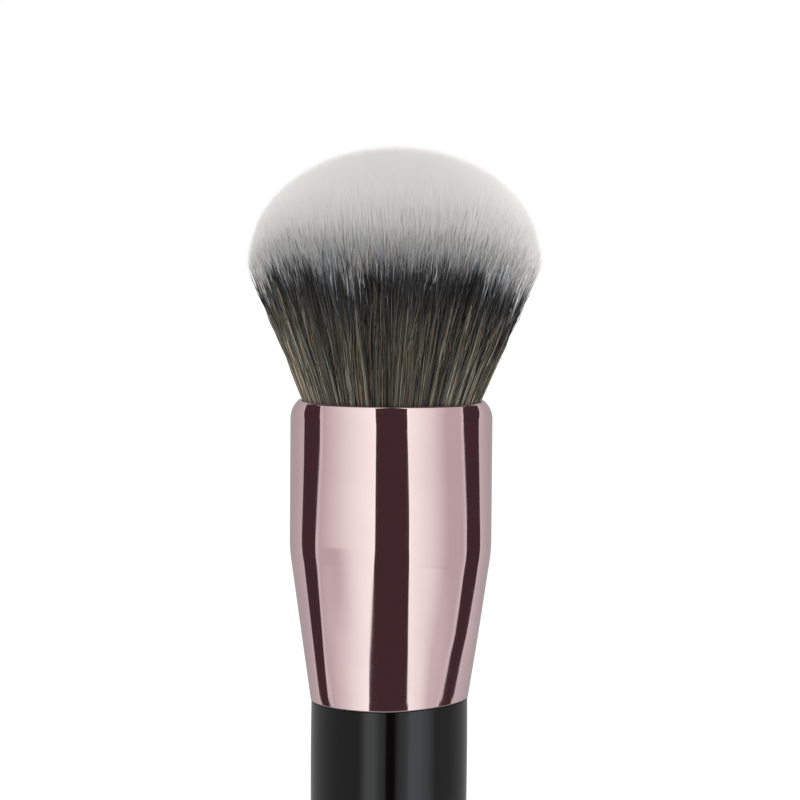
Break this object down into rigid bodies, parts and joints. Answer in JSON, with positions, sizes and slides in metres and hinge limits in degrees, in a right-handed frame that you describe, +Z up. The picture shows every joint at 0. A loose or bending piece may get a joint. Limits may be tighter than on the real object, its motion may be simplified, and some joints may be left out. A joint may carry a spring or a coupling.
{
  "type": "foundation brush",
  "caption": "Round foundation brush with a dense domed head of synthetic fibres, a polished conical ferrule and a short gloss handle that stands on its flat end.",
  "frame": {"origin": "middle of the handle's flat end, on the surface that the brush stands on", "axes": "+Z up the brush's axis towards the top of the domed head; the body is turned, so +X and +Y are any two square directions"},
  "size_m": [0.04, 0.04, 0.1453],
  "materials": {
    "black_lacquer": "gloss black lacquer over turned wood",
    "rose_gold": "polished, pink gold anodised",
    "cup_metal": "plain drawn",
    "fibre": "fine synthetic fibres, taupe at the base, a dyed black band and white tips",
    "resin": "amber potting resin",
    "thread": "off-white twisted thread",
    "glue": "cured clear glue"
  },
  "bodies": {
    "root": {"handle": "black_lacquer", "tenon_glue_1": "glue", "tenon_glue_2": "glue", "tenon_glue_3": "glue", "ferrule": "rose_gold", "knot_glue": "glue", "knot_cup": "cup_metal", "root_resin": "resin", "binding_thread": "thread", "bristles_core": "fibre", "bristles_inner": "fibre", "bristles_middle": "fibre", "bristles_outer": "fibre"}
  },
  "joints": []
}
